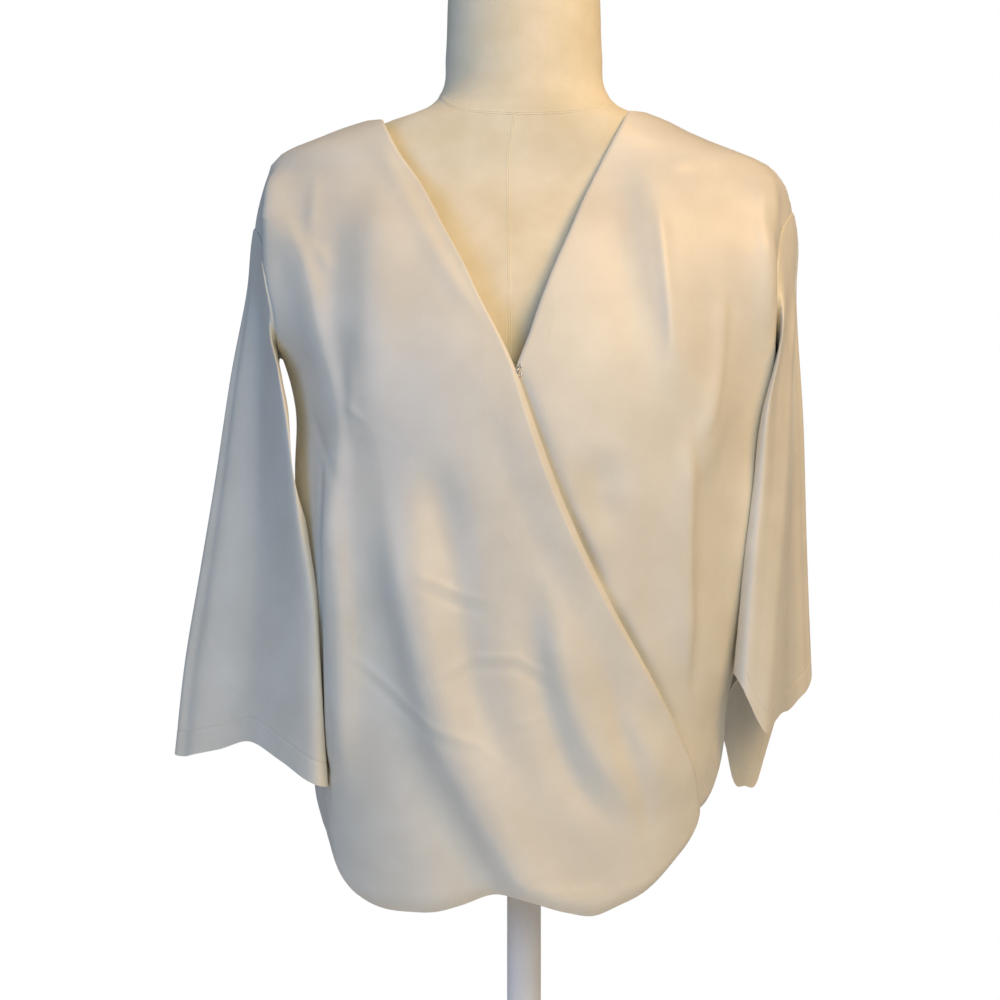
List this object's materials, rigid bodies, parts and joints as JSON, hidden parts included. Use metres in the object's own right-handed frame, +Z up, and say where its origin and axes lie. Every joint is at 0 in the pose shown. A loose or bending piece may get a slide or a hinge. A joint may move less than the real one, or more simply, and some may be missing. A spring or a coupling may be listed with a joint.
{
  "type": "surplice blouse on a limbless dress form",
  "caption": "Ivory surplice blouse with wide three-quarter sleeves and a hi-low hem, closed by a hook and eye, worn on a padded dress form on a pole stand.",
  "frame": {"origin": "centre of the underside of the round stand base", "axes": "+Z up, -Y towards the front of the blouse, +X towards the wearer's left, which is the viewer's right"},
  "size_m": [0.4916, 0.28, 0.9],
  "materials": {
    "crepe": "ivory satin-back crepe with a soft sheen",
    "linen": "matt off-white linen cover",
    "wire": "bright silver wire",
    "painted_stand": "satin white paint"
  },
  "bodies": {
    "root": {"right_front": "crepe", "left_front": "crepe", "back": "crepe", "right_sleeve": "crepe", "left_sleeve": "crepe", "hook": "wire", "eye": "wire", "dress_form": "linen", "stand_pole": "painted_stand", "stand_base": "painted_stand"}
  },
  "joints": []
}
